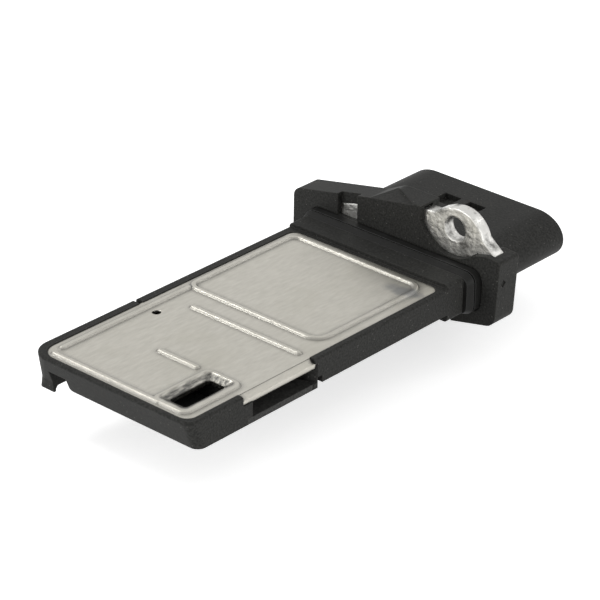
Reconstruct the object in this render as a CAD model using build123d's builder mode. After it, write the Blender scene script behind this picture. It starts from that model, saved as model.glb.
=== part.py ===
from build123d import *
import os

# A plug-in mass airflow sensor: a flat blade that hangs in the intake duct, a flange that is
# screwed to the duct, and a plug connector behind it. All sizes are in millimetres.
#
# The origin is on the flange's seat, midway between the two screw holes. +Y runs from the blade
# through the flange to the connector, +Z is the side of the aluminium plate, X is across the blade.

# Driving dimensions: the blade
BLADE_WIDTH = 35.0
BLADE_TOP = 2.4              # height of the blade's upper rim above the probe axis
BLADE_DEPTH = 5.3            # thickness of the front part, which holds the air passage
REAR_DEPTH = 4.7             # thickness of the rear part, which holds the circuit
BLADE_REACH = 68.6           # from the seat to the upper edge of the tip
TIP_UNDERCUT = 2.1           # the tip's lower edge lies this much nearer the seat
TIP_RADIUS_LEFT = 4.0        # rounding of the left corner at the upper rim
TIP_RADIUS_FLOOR = 1.8       # and at the blade's floor
TIP_RADIUS_RIGHT = 1.6
RIM_ROUNDING = 0.4
FRONT_LENGTH = 29.3          # length of the deeper front part
SPLIT_GAP = 1.1              # slot between the two parts' undersides
SPLIT_GAP_HEIGHT = 1.9

# Driving dimensions: neck, seal and flange
NECK_REACH = 7.0
NECK_TOP = 3.1
NECK_BOTTOM = -3.7
NECK_EDGE = 0.7
SEAL_REACH = 3.0             # length of the groove that holds the seal
SEAL_GROOVE = 0.9            # depth of that groove below the neck
SEAL_PROUD = 1.25            # how far the seal stands out of the neck at its ends
SEAL_RISE = 0.5              # and above and below
SEAL_RADIUS = 2.0
SEAL_TAPER = 22.0            # angle of its front lip
SEAL_BEVEL = 1.3
SEAL_SLIT = 0.35             # groove between the seal's two lips
SEAL_BORE = 1.2              # rounding of the ring's inside
SEAL_RECESS = 0.25           # how far the ring is let into the flange
SEAL_CLEAR = 0.15            # gap round it there
FLANGE_THICK = 5.0
FLANGE_LEFT = -22.8
FLANGE_RIGHT = 22.5
FLANGE_LEAN = 0.6            # the lower right corner lies this much further in
FLANGE_RAMP = [(-5.6, 9.2), (-1.8, 11.1)]
FLANGE_EAR = [(13.0, 11.1), (17.0, 5.9), (19.6, 6.6)]
FLANGE_FAR = 5.6             # heights of its four corners
FLANGE_NEAR = 6.35
BOSS_END = 5.4               # the boss's end wall beside the screw eye
BOSS_END_FLOOR = 8.0
BOSS_SLOT = 0.5              # gap above the metal plate in that wall
MARK_PLACE = (1.4, 2.1)      # diamond-shaped recess in the flange's right end
MARK_SIZE = 0.75
MARK_DEPTH = 0.3

# Driving dimensions: the metal plate in the flange and its screw eyes
METAL_THICK = 2.25
METAL_FRONT = 1.1            # depth of its front face behind the seat
METAL_MARGIN = 1.9           # plastic left outside it along the flange
METAL_EDGE = [(5.0, 10.25), (7.4, 10.45), (8.7, 11.35), (10.6, 12.25)]
METAL_TAIL = [(17.2, 9.2), (20.55, 6.55)]
METAL_SLOT = (30.0, 5.6)     # its opening for the probe's terminals
HOLE_PLACE = (12.0, 8.8)     # screw hole from the origin, and its twin half a turn away
HOLE_DIAMETER = 4.3
EYE_CENTRE = (12.7, 7.1)
EYE_RADIUS = 5.4
EYE_CUT_CENTRE = (12.0, 11.4)
EYE_CUT_RADIUS = 7.3
WINDOW_WIDTH = 4.4           # opening in the flange's front that bares the metal plate
WINDOW_LEFT = -12.75
WINDOW_FLOOR = 3.6

# Driving dimensions: the connector
SHROUD_REACH = 25.4          # from the seat to the connector's mouth
SHROUD_HALF_WIDTH = 17.0
SHROUD_HALF_HEIGHT = 4.2
SHROUD_END = 5.6             # half length of the oval ends
SHROUD_CENTRE = -0.25        # height of the connector's middle
SHROUD_WALL = 1.6
SOCKET_DEPTH = 17.4
LATCH_LENGTH = 3.8
LATCH_WIDTH = 3.6
LATCH_RIB = 1.8
LATCH_FROM_MOUTH = 6.1
LATCH_DEPTH = 1.1
TERMINAL_COUNT = 5
TERMINAL_PITCH = 5.2
TERMINAL_WIDTH = 1.5
TERMINAL_THICK = 0.64
TERMINAL_TIP = 9.8           # how far the blades end inside the mouth
TERMINAL_TAIL = 2.5          # bare length inside the circuit chamber

# Driving dimensions: the base plate
PLATE_THICK = 0.8
PLATE_DROP = 0.1             # its top lies this much below the blade's rim
PLATE_RIM_LEFT = 1.7         # black rim left, right and in front of it
PLATE_RIM_RIGHT = 1.15
PLATE_FRONT_RIM = 1.0
PLATE_END_REACH = 7.65
PLATE_RADIUS_LEFT = 3.2      # its left front corner
PLATE_RADIUS = 1.9           # and the other three
TAB_BEFORE_INLET = 2.1       # the tab is longer than the inlet by these amounts
TAB_AFTER_INLET = 0.3
TAB_SLOPE = 1.3              # width of the tab's sloping edge
TAB_FALL = 0.75              # how far that edge falls
TAB_LEAN = 0.15
RIM_SLOT_PLACE = 5.0         # small slot through the left rim, from the split
RIM_SLOT_LENGTH = 0.9
BEAD_WIDTH = 1.3
BEAD_HEIGHT = 0.32
BEAD_SLOPE = 45.0            # angle of the beads' sides from upright
LEFT_BEAD_INSET = (1.8, 3.4, 3.7)     # from the plate's left and front edges and the split
MIDDLE_BEAD_INSET = (7.1, 2.25, 0.8)  # from its left and right edges and the split
FRONT_BEAD_INSET = (2.2, 1.3)         # from its left and front edges
SHORT_BEAD_LENGTH = 7.9
SHORT_BEAD_GAP = 3.3         # between the short bead and the outlet window
PAN_BEAD_INSET = (1.3, 2.6, 1.55, 4.3)   # from left, right and rear edges and the split
PAN_BEAD_RADII = [1.8, 2.6, 2.6, 1.8]
OUTLET_WIDTH = 3.55
OUTLET_LENGTH = 8.9
OUTLET_FROM_SIDE = 4.95
OUTLET_FROM_TIP = 4.5
RING_OUTSIDE = (1.8, 2.55, 2.7, 1.8)  # rolled ridge round the window: left, right, front, rear
RING_INSIDE = (1.0, 1.3, 1.5, 1.0)
DISH_UNDER = (0.8, 0.8, 0.7, 0.5)
DISH_DEPTH = 0.55            # how far the sheet is pressed down round the window
PEEP_PLACE = (4.0, 6.1)      # small round hole, from the plate's left edge and the split
PEEP_DIAMETER = 1.5

# Driving dimensions: air passage and circuit chamber
INLET_FROM_TIP = 14.2
INLET_FROM_SPLIT = 0.9
PASSAGE_WALL = 1.9
CHIP_WALL = 2.2              # the passage's rear wall beside the chip, from the inlet's rear edge
THROAT_WIDTH = 7.4           # from that wall to the divider wall, past the chip
DIVIDER_ROUNDING = 1.4       # end of the wall between the way in and the way back
BEND_WALL = 0.9              # and at the bend
COVER_THICK = 1.0
COVER_LEDGE = 0.95           # width of the ledges that the lower covers rest on
CIRCUIT_LEDGE = 2.1
COVER_RADIUS = 1.2
DRAIN_FROM_SIDE = 3.5        # the drain notch in the tip's lower edge
DRAIN_WIDTH = 3.9
DRAIN_HEIGHT = 2.3
DRAIN_CORNER = 0.7           # rounding beside the notch
DRAIN_PLACE = (1.5, 2.6)     # its round part, from the foot and the tip
DRAIN_RADIUS = 3.4
FOOT_DROP = 1.9              # how far the corner foot reaches below the blade
FOOT_RIB = 0.95              # and the rib behind it
FOOT_NIB = 0.45              # thickness of its front edge
FOOT_DRAFT = 0.2             # how far it leans in towards its end
FOOT_RADIUS = 1.0
FOOT_LENGTH = 7.0
CHAMBER_FROM_SIDE = 4.5
CHAMBER_FROM_SPLIT = 3.9
CHAMBER_END = 10.5
SEALANT_WIDTH = 0.8
SEALANT_DEPTH = 0.5
SEALANT_OUT = 0.6            # clear of the chamber's wall
SEALANT_RADIUS = 1.4

# Driving dimensions: the electronics
GLUE_THICK = 0.15
GLUE_INSET = 0.5
BOARD_THICK = 0.65
BOARD_CLEAR = 0.6            # from the board's edges to the chamber's walls
IC_SIZE = (8.0, 7.0, 0.9)
IC_PLACE = -4.0
REGULATOR_SIZE = (4.2, 3.4, 0.8)
REGULATOR_PLACE = 6.2
CAPACITOR_SIZE = (1.6, 0.8, 0.6)
CAPACITOR_ROW = 2.8          # from the board's rear edge
CAPACITOR_PITCH = 1.6        # the two in front of the smaller chip
RESISTOR_SIZE = (1.0, 0.5, 0.35)
RESISTOR_PITCH = (2.2, 1.2)
PART_GAP = 0.85              # between neighbouring parts on the board
CARRIER_WIDTH = 4.8
CARRIER_THICK = 0.8
CARRIER_TIP_GAP = 1.8        # between the tongue's tip and the divider wall
CARRIER_UNDER_BOARD = 2.0
CHIP_SIZE = 2.4
CHIP_THICK = 0.3
CHIP_CLEAR = 0.1
CHIP_FROM_TIP = 1.0
SEAL_DROP = (1.8, 0.9, 0.35)
THERMISTOR_FROM_SIDE = 9.1   # from the blade's right side
THERMISTOR_DIAMETER = 1.6
THERMISTOR_LENGTH = 2.6
THERMISTOR_TIP = 0.35        # bevel of its ends
THERMISTOR_OUT = 6.3         # how far it reaches past the inlet's rear edge
LEAD_DIAMETER = 0.5
LEAD_SPACING = 0.9
WIRE_DIAMETER = 0.3
WIRE_INSET = 0.9             # from the ends of terminal and board
WIRE_SAG = 0.35

# Places worked out from the sizes above
half_width = BLADE_WIDTH / 2
split_reach = BLADE_REACH - FRONT_LENGTH
inlet_start = BLADE_REACH - INLET_FROM_TIP
inlet_end = split_reach + INLET_FROM_SPLIT
passage_bend = -inlet_start - 0.2
divider_rear = -inlet_end - CHIP_WALL - THROAT_WIDTH
divider_round = min(DIVIDER_ROUNDING, 0.45 * (divider_rear - passage_bend))
chamber_start = split_reach - CHAMBER_FROM_SPLIT
chamber_half = half_width - CHAMBER_FROM_SIDE
outlet_left = half_width - OUTLET_FROM_SIDE - OUTLET_WIDTH
outlet_start = BLADE_REACH - OUTLET_FROM_TIP
drain_left = DRAIN_FROM_SIDE - half_width
drain_centre = (drain_left + DRAIN_PLACE[0], DRAIN_PLACE[1] - BLADE_REACH)
front_floor = BLADE_TOP - BLADE_DEPTH
rear_floor = BLADE_TOP - REAR_DEPTH
plate_top = BLADE_TOP - PLATE_DROP
plate_seat = plate_top - PLATE_THICK
plate_left = PLATE_RIM_LEFT - half_width
plate_right = half_width - PLATE_RIM_RIGHT
plate_front = -(BLADE_REACH - PLATE_FRONT_RIM)
front_cover_seat = front_floor + COVER_THICK
rear_cover_seat = rear_floor + COVER_THICK
split_roof = front_floor + SPLIT_GAP_HEIGHT
neck_middle = (NECK_TOP + NECK_BOTTOM) / 2
neck_height = NECK_TOP - NECK_BOTTOM
metal_back = METAL_FRONT + METAL_THICK
shroud_floor = SHROUD_REACH - SOCKET_DEPTH
board_top = plate_seat - GLUE_THICK
board_floor = board_top - BOARD_THICK
carrier_floor = board_floor - CARRIER_THICK
terminal_top = SHROUD_CENTRE + TERMINAL_THICK / 2
terminal_floor = terminal_top - TERMINAL_THICK
ledge_end = CHAMBER_END + TERMINAL_TAIL
carrier_end = chamber_start - BOARD_CLEAR - CARRIER_UNDER_BOARD
carrier_tip = -divider_rear - CARRIER_TIP_GAP
board_front = -(chamber_start - BOARD_CLEAR)
board_rear = -(ledge_end + BOARD_CLEAR)
board_middle = (board_front + board_rear) / 2
board_half = chamber_half - BOARD_CLEAR
thermistor_x = half_width - THERMISTOR_FROM_SIDE


def across(y):
    """A plane across the probe at the given place on Y; its local x and y are X and Z."""
    return Plane.XZ.offset(-y)


def level(z):
    """A level plane at height z."""
    return Plane.XY.offset(z)


def turned(points):
    """The same points half a turn round the probe's axis."""
    return [(-x, -z) for x, z in points]


def block(x, y, z, mode=Mode.ADD):
    """A plain block in a part, given its limits along each axis."""
    with Locations(((x[0] + x[1]) / 2, (y[0] + y[1]) / 2, (z[0] + z[1]) / 2)):
        Box(x[1] - x[0], y[1] - y[0], z[1] - z[0], mode=mode)


def cut_block(x, y, z):
    """The same block cut out of the part."""
    block(x, y, z, Mode.SUBTRACT)


def oval(half_across, half_height, end):
    """The connector's outline: two flat sides joined by elliptical ends."""
    straight = half_across - end
    with BuildLine() as outline:
        EllipticalCenterArc((straight, 0), end, half_height, -90, arc_size=180)
        Line((straight, half_height), (-straight, half_height))
        EllipticalCenterArc((-straight, 0), end, half_height, 90, arc_size=180)
        Line((-straight, -half_height), (straight, -half_height))
    make_face(outline.edges())


os.makedirs("parts", exist_ok=True)

# The flange's outline: a long sloping edge, a ramp up to the boss beside the screw eye, then the
# lower block at the far corner. The lower half is the upper one turned by half a turn.
flange_upper = [(FLANGE_LEFT, FLANGE_FAR)] + FLANGE_RAMP + FLANGE_EAR + [(FLANGE_RIGHT, FLANGE_NEAR)]
flange_lower = [(FLANGE_RIGHT - FLANGE_LEAN, -FLANGE_FAR)] + turned(FLANGE_RAMP + FLANGE_EAR)
flange_lower += [(FLANGE_LEFT, -FLANGE_NEAR)]
flange_radii = [1.7, 2.5, 2.5, 0, 0, 0, 0.5, 2.2, 2.5, 2.5, 0, 0, 0, 0.5]

# The metal plate's outline: it follows the flange inside the plastic and ends in a tail beside
# each eye
metal_upper = [(-METAL_TAIL[1][0], FLANGE_FAR - METAL_MARGIN)]
metal_upper += [(x, z - METAL_MARGIN) for x, z in FLANGE_RAMP]
metal_upper += METAL_EDGE + METAL_TAIL

# mounting_plate: one metal plate with two screw eyes and a slot for the terminals
with BuildPart() as mounting_plate:
    with BuildSketch(across(METAL_FRONT)) as metal_outline:
        with BuildLine():
            Polyline(metal_upper + turned(metal_upper), close=True)
        make_face()
        with Locations(EYE_CENTRE, (-EYE_CENTRE[0], -EYE_CENTRE[1])):
            Circle(EYE_RADIUS)
        RectangleRounded(*METAL_SLOT, METAL_SLOT[1] / 2 - 0.01, mode=Mode.SUBTRACT)
    extrude(amount=-METAL_THICK)
    metal_body = mounting_plate.part
    with Locations(across(METAL_FRONT)):
        with Locations(HOLE_PLACE, (-HOLE_PLACE[0], -HOLE_PLACE[1])):
            Hole(HOLE_DIAMETER / 2, depth=METAL_THICK)
mounting_plate.part.label = "mounting_plate"
export_step(mounting_plate.part, "parts/mounting_plate.step")

# terminal_1 to terminal_5: flat tinned blades that run from the circuit chamber to the connector
terminals = []
for number in range(TERMINAL_COUNT):
    place = (number - (TERMINAL_COUNT - 1) / 2) * TERMINAL_PITCH
    with BuildPart() as terminal:
        block(
            (place - TERMINAL_WIDTH / 2, place + TERMINAL_WIDTH / 2),
            (-ledge_end, SHROUD_REACH - TERMINAL_TIP),
            (terminal_floor, terminal_top),
        )
        chamfer(terminal.faces().sort_by(Axis.Y)[-1].edges(), length=0.2)
    terminal.part.label = f"terminal_{number + 1}"
    export_step(terminal.part, f"parts/terminal_{number + 1}.step")
    terminals.append(terminal.part)

# The air passage seen from above: in at the right side, past the sensing chip, round a bend at
# the left and back to the outlet window near the tip
inlet_outside = half_width + 2
passage_left = -(half_width - PASSAGE_WALL)
passage_front = -(outlet_start + 0.75)
passage_right = outlet_left + OUTLET_WIDTH + 0.95
passage_points = [
    (inlet_outside, -inlet_end + 2.2),
    (half_width - 1.4, -inlet_end),
    (9.0, -inlet_end - 0.7),
    (4.0, -inlet_end - CHIP_WALL),
    (-5.0, -inlet_end - CHIP_WALL),
    (-8.0, -inlet_end - BEND_WALL),
    (passage_left, -inlet_end - BEND_WALL),
    (passage_left, passage_front),
    (passage_right, passage_front),
    (passage_right, passage_bend),
    (-6.0, passage_bend),
    (-6.0, divider_rear),
    (4.0, divider_rear),
    (10.5, -inlet_start + 1.1),
    (half_width - 1.5, -inlet_start),
    (inlet_outside, -inlet_start),
]
passage_radii = [0, 2.4, 3, 3, 2, 1.5, 3.5, 3.5, 1, 0.4, divider_round, divider_round, 3, 3, 0, 0]

# sensor_carrier: a stiff tongue under the board that reaches through the wall into the passage
chip_place = -(carrier_tip - CHIP_FROM_TIP - CHIP_SIZE / 2 - CHIP_CLEAR)
pocket_half = CHIP_SIZE / 2 + CHIP_CLEAR
with BuildPart() as sensor_carrier:
    block(
        (-CARRIER_WIDTH / 2, CARRIER_WIDTH / 2),
        (-carrier_tip, -carrier_end),
        (carrier_floor, board_floor),
    )
    carrier_body = sensor_carrier.part
    chamfer(sensor_carrier.faces().sort_by(Axis.Y)[0].edges().filter_by(Axis.X), length=0.25)
    cut_block(
        (-pocket_half, pocket_half),
        (chip_place - pocket_half, chip_place + pocket_half),
        (carrier_floor, carrier_floor + CHIP_THICK),
    )
sensor_carrier.part.label = "sensor_carrier"
export_step(sensor_carrier.part, "parts/sensor_carrier.step")

# sensor_chip: the silicon chip in the carrier's pocket, flush with its lower face
with BuildPart() as sensor_chip:
    block(
        (-CHIP_SIZE / 2, CHIP_SIZE / 2),
        (chip_place - CHIP_SIZE / 2, chip_place + CHIP_SIZE / 2),
        (carrier_floor, carrier_floor + CHIP_THICK),
    )
sensor_chip.part.label = "sensor_chip"
export_step(sensor_chip.part, "parts/sensor_chip.step")

# chip_encapsulant: a bead of resin over the connections at the chip's rear edge
with BuildPart() as chip_encapsulant:
    with BuildSketch(level(carrier_floor)):
        with Locations((0, chip_place + pocket_half)):
            SlotOverall(SEAL_DROP[0], SEAL_DROP[1])
    extrude(amount=-SEAL_DROP[2])
    chamfer(chip_encapsulant.faces().sort_by(Axis.Z)[0].edges(), length=0.2)
chip_encapsulant.part.label = "chip_encapsulant"
export_step(chip_encapsulant.part, "parts/chip_encapsulant.step")

# thermistor: a glass bead on two leads in the air passage, for the intake air's temperature
lead_height = board_floor - LEAD_DIAMETER / 2
thermistor_start = inlet_end + THERMISTOR_OUT
bead_end = thermistor_start - THERMISTOR_LENGTH
with BuildPart() as thermistor:
    with BuildSketch(across(-thermistor_start)):
        with Locations((thermistor_x, lead_height)):
            Circle(THERMISTOR_DIAMETER / 2)
    extrude(amount=-THERMISTOR_LENGTH)
    chamfer(thermistor.edges().filter_by(GeomType.CIRCLE), length=THERMISTOR_TIP)
thermistor.part.label = "thermistor"
export_step(thermistor.part, "parts/thermistor.step")

# thermistor_lead_1 and thermistor_lead_2: they run through the wall to the underside of the board
leads = []
for number, side in enumerate((-1, 1)):
    with BuildPart() as lead:
        with BuildSketch(across(-bead_end)):
            with Locations((thermistor_x + side * LEAD_SPACING / 2, lead_height)):
                Circle(LEAD_DIAMETER / 2)
        extrude(amount=-(bead_end - carrier_end))
    lead.part.label = f"thermistor_lead_{number + 1}"
    export_step(lead.part, f"parts/thermistor_lead_{number + 1}.step")
    leads.append(lead.part)

# The sealing beads' outlines: a loop round the circuit chamber under the plate, and one over the
# lower cover
loop_half = chamber_half + SEALANT_OUT + SEALANT_WIDTH / 2
loop_front = -(chamber_start + SEALANT_OUT + SEALANT_WIDTH / 2)
loop_rear = -(CHAMBER_END - SEALANT_OUT - SEALANT_WIDTH / 2)


def sealing_loop():
    """The flat outline of a sealing bead that runs round the circuit chamber."""
    with Locations((0, (loop_front + loop_rear) / 2)):
        RectangleRounded(
            2 * loop_half + SEALANT_WIDTH,
            loop_rear - loop_front + SEALANT_WIDTH,
            SEALANT_RADIUS,
        )
        RectangleRounded(
            2 * loop_half - SEALANT_WIDTH,
            loop_rear - loop_front - SEALANT_WIDTH,
            SEALANT_RADIUS - SEALANT_WIDTH,
            mode=Mode.SUBTRACT,
        )


# plate_sealant: the bead of silicone between the housing and the base plate
with BuildPart() as plate_sealant:
    with BuildSketch(level(plate_seat - SEALANT_DEPTH)):
        sealing_loop()
    extrude(amount=SEALANT_DEPTH)
plate_sealant.part.label = "plate_sealant"
export_step(plate_sealant.part, "parts/plate_sealant.step")

# cover_sealant: the bead of silicone between the housing and the circuit cover
with BuildPart() as cover_sealant:
    with BuildSketch(level(rear_cover_seat)):
        sealing_loop()
    extrude(amount=SEALANT_DEPTH)
cover_sealant.part.label = "cover_sealant"
export_step(cover_sealant.part, "parts/cover_sealant.step")

# The base plate's outlines and the places of its stiffening beads
outlet_right = outlet_left + OUTLET_WIDTH
window_middle = (outlet_left + OUTLET_WIDTH / 2, -outlet_start + OUTLET_LENGTH / 2)
tab_inside = plate_right - 1
tab_front = -(inlet_start + TAB_BEFORE_INLET)
tab_rear = -(inlet_end - TAB_AFTER_INLET)
tab_low = plate_top - TAB_FALL
left_bead = (
    plate_left + LEFT_BEAD_INSET[0],
    plate_front + LEFT_BEAD_INSET[1],
    LEFT_BEAD_INSET[2] - split_reach,
)
middle_bead = (
    plate_left + MIDDLE_BEAD_INSET[0],
    plate_right - MIDDLE_BEAD_INSET[1],
    -split_reach - MIDDLE_BEAD_INSET[2],
)
front_bead = (plate_left + FRONT_BEAD_INSET[0], outlet_left, plate_front + FRONT_BEAD_INSET[1])
short_bead = (outlet_left - SHORT_BEAD_GAP - SHORT_BEAD_LENGTH, outlet_left - SHORT_BEAD_GAP, -inlet_start)
pan_left = plate_left + PAN_BEAD_INSET[0]
pan_right = plate_right - PAN_BEAD_INSET[1]
pan_rear = -(PLATE_END_REACH + PAN_BEAD_INSET[2])
pan_front = PAN_BEAD_INSET[3] - split_reach
pan_points = [
    (pan_left, pan_front),
    (pan_right, pan_front),
    (pan_right, pan_rear),
    (pan_left, pan_rear),
]
peep_hole = (plate_left + PEEP_PLACE[0], -split_reach - PEEP_PLACE[1])


def plate_outline():
    """The base plate seen from above, without its tab."""
    rear = -PLATE_END_REACH
    corners = [
        (plate_left, rear),
        (plate_left, plate_front),
        (plate_right, plate_front),
        (plate_right, rear),
    ]
    radii = [PLATE_RADIUS, PLATE_RADIUS_LEFT, PLATE_RADIUS, PLATE_RADIUS]
    with BuildLine() as outline:
        FilletPolyline(*corners, radius=radii, close=True)
    make_face(outline.edges())


def window_outline(margins, radius):
    """A rounded opening larger than the outlet window by margins at left, right, front and rear."""
    left, right, front, rear = margins
    x_middle = window_middle[0] + (right - left) / 2
    y_middle = window_middle[1] + (rear - front) / 2
    with Locations((x_middle, y_middle)):
        RectangleRounded(OUTLET_WIDTH + left + right, OUTLET_LENGTH + front + rear, radius)


def cross_bead(start, end, place):
    """A straight bead that runs across the plate."""
    with Locations(((start + end) / 2, place)):
        SlotOverall(end - start + BEAD_WIDTH, BEAD_WIDTH)


# base_plate: pressed aluminium sheet with stiffening beads, a tab that slopes down over the inlet
# and a rolled ridge round the outlet window, inside which the sheet is pressed down
with BuildPart() as base_plate:
    with BuildSketch(level(plate_seat)):
        plate_outline()
    extrude(amount=PLATE_THICK)
    with BuildSketch(across(tab_front)):
        with BuildLine():
            Polyline(
                (tab_inside, plate_seat),
                (tab_inside, plate_top),
                (half_width - TAB_SLOPE, plate_top),
                (half_width, tab_low),
                (half_width - TAB_LEAN, tab_low - PLATE_THICK),
                (half_width - TAB_SLOPE - TAB_LEAN, plate_seat),
                close=True,
            )
        make_face()
    extrude(amount=tab_front - tab_rear)
    with BuildSketch(level(plate_seat)):
        window_outline(DISH_UNDER, 0.9)
    with BuildSketch(level(plate_seat - DISH_DEPTH)):
        window_outline((0.4, 0.4, 0.4, 0.4), 0.9)
    loft()
    with BuildSketch(level(plate_top)):
        with Locations((left_bead[0], (left_bead[1] + left_bead[2]) / 2)):
            SlotOverall(left_bead[2] - left_bead[1] + BEAD_WIDTH, BEAD_WIDTH, rotation=90)
        cross_bead(*middle_bead)
        cross_bead(*short_bead)
    extrude(amount=BEAD_HEIGHT, taper=BEAD_SLOPE)
    with BuildSketch(level(plate_top)):
        cross_bead(*front_bead)
    extrude(amount=BEAD_HEIGHT, taper=BEAD_SLOPE)
    with BuildSketch(level(plate_top)):
        window_outline(RING_OUTSIDE, 1.6)
    extrude(amount=BEAD_HEIGHT, taper=BEAD_SLOPE)
    with BuildSketch(level(plate_top)):
        with BuildLine():
            FilletPolyline(*pan_points, radius=PAN_BEAD_RADII, close=True)
            offset(amount=BEAD_WIDTH / 2, mode=Mode.REPLACE)
        make_face()
    extrude(amount=BEAD_HEIGHT, taper=BEAD_SLOPE)
    with BuildSketch(level(plate_top)):
        with BuildLine():
            FilletPolyline(*pan_points, radius=PAN_BEAD_RADII, close=True)
            offset(amount=-BEAD_WIDTH / 2, mode=Mode.REPLACE)
        make_face()
    extrude(amount=BEAD_HEIGHT, taper=-BEAD_SLOPE, mode=Mode.SUBTRACT)
    with BuildSketch(level(plate_top + BEAD_HEIGHT)):
        window_outline(RING_INSIDE, 0.9)
    with BuildSketch(level(plate_top - DISH_DEPTH)):
        window_outline((0, 0, 0, 0), 0.6)
    loft(mode=Mode.SUBTRACT)
    with BuildSketch(level(plate_seat - DISH_DEPTH)):
        window_outline((0, 0, 0, 0), 0.6)
    extrude(amount=PLATE_THICK, mode=Mode.SUBTRACT)
    with Locations((peep_hole[0], peep_hole[1], plate_top)):
        Hole(PEEP_DIAMETER / 2, depth=PLATE_THICK)
base_plate.part.label = "base_plate"
export_step(base_plate.part, "parts/base_plate.step")

# The two lower covers' outlines, seen from above
cover_half = half_width - COVER_LEDGE
cover_front = -(BLADE_REACH - TIP_UNDERCUT - COVER_LEDGE)
cover_inlet = -(inlet_start + COVER_LEDGE)
foot_rear = -(BLADE_REACH - TIP_UNDERCUT - FOOT_LENGTH)
bypass_points = [
    (cover_half, cover_front),
    (cover_half, cover_inlet),
    (half_width, cover_inlet),
    (half_width, -split_reach),
    (-cover_half, -split_reach),
    (-cover_half, foot_rear),
    (drain_left, foot_rear),
    (drain_left, cover_front),
]
bypass_radii = [COVER_RADIUS, 0, 0, COVER_RADIUS, 0, 0, 0, 0]
circuit_front = -(chamber_start + CIRCUIT_LEDGE)
circuit_rear = -(CHAMBER_END - CIRCUIT_LEDGE)

# bypass_cover: closes the air passage from below and leaves a drain at the corner
with BuildPart() as bypass_cover:
    with BuildSketch(level(front_floor)):
        with BuildLine():
            FilletPolyline(*bypass_points, radius=bypass_radii, close=True)
        make_face()
        with Locations(drain_centre):
            Circle(DRAIN_RADIUS, mode=Mode.SUBTRACT)
    extrude(amount=COVER_THICK)
bypass_cover.part.label = "bypass_cover"
export_step(bypass_cover.part, "parts/bypass_cover.step")

# circuit_cover: closes the circuit chamber from below
with BuildPart() as circuit_cover:
    with BuildSketch(level(rear_floor)):
        with Locations((0, (circuit_front + circuit_rear) / 2)):
            RectangleRounded(
                2 * (chamber_half + CIRCUIT_LEDGE),
                circuit_rear - circuit_front,
                COVER_RADIUS,
            )
    extrude(amount=COVER_THICK)
circuit_cover.part.label = "circuit_cover"
export_step(circuit_cover.part, "parts/circuit_cover.step")

# seal_ring: a rubber ring with a bevelled front lip and a second band, in a groove of the neck
seal_width = BLADE_WIDTH + 2 * SEAL_PROUD
seal_height = neck_height + 2 * SEAL_RISE
with BuildPart() as seal_ring:
    with BuildSketch(across(SEAL_BEVEL - SEAL_REACH)):
        with Locations((0, neck_middle)):
            RectangleRounded(seal_width, seal_height, SEAL_RADIUS)
    extrude(amount=SEAL_BEVEL, taper=SEAL_TAPER)
    with BuildSketch(across(SEAL_BEVEL - SEAL_REACH)):
        with Locations((0, neck_middle)):
            RectangleRounded(
                seal_width - 2 * SEAL_SLIT,
                seal_height - 2 * SEAL_SLIT,
                SEAL_RADIUS - SEAL_SLIT,
            )
    extrude(amount=-SEAL_SLIT)
    with BuildSketch(across(SEAL_BEVEL - SEAL_REACH + SEAL_SLIT)):
        with Locations((0, neck_middle)):
            RectangleRounded(seal_width, seal_height, SEAL_RADIUS)
    extrude(amount=SEAL_BEVEL - SEAL_REACH + SEAL_SLIT - SEAL_RECESS)
    with BuildSketch(across(-SEAL_REACH)):
        with Locations((0, neck_middle)):
            RectangleRounded(
                BLADE_WIDTH - 2 * SEAL_GROOVE,
                neck_height - 2 * SEAL_GROOVE,
                SEAL_BORE,
            )
    extrude(amount=-(SEAL_REACH + SEAL_RECESS), mode=Mode.SUBTRACT)
seal_ring.part.label = "seal_ring"
export_step(seal_ring.part, "parts/seal_ring.step")

# housing: one black moulding with the blade, the neck, the flange and the connector shroud
blade_rear = -NECK_REACH + 0.5
tip_floor = TIP_UNDERCUT - BLADE_REACH
foot_floor = front_floor - FOOT_DROP
rib_floor = front_floor - FOOT_RIB
foot_hollow = [
    (tip_floor + FOOT_DRAFT + FOOT_NIB, foot_floor - 1),
    (tip_floor + FOOT_DRAFT + FOOT_NIB, foot_floor + FOOT_NIB),
    (tip_floor + FOOT_DRAFT + 2 * FOOT_NIB, rib_floor),
    (foot_rear - FOOT_DROP, rib_floor),
    (foot_rear, front_floor),
    (foot_rear, foot_floor - 1),
]


def tip_outline(front, radius):
    """The blade seen from above, with its front edge at the given place and its left rounding."""
    corners = [
        (-half_width, blade_rear),
        (-half_width, front),
        (half_width, front),
        (half_width, blade_rear),
    ]
    with BuildLine() as outline:
        FilletPolyline(*corners, radius=[0, radius, TIP_RADIUS_RIGHT, 0], close=True)
    make_face(outline.edges())


def foot_outline(front, radius):
    """The corner foot seen from above."""
    corners = [(-half_width, foot_rear), (-half_width, front), (drain_left, front), (drain_left, foot_rear)]
    with BuildLine() as outline:
        FilletPolyline(*corners, radius=[0, radius, 0, 0], close=True)
    make_face(outline.edges())


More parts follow.
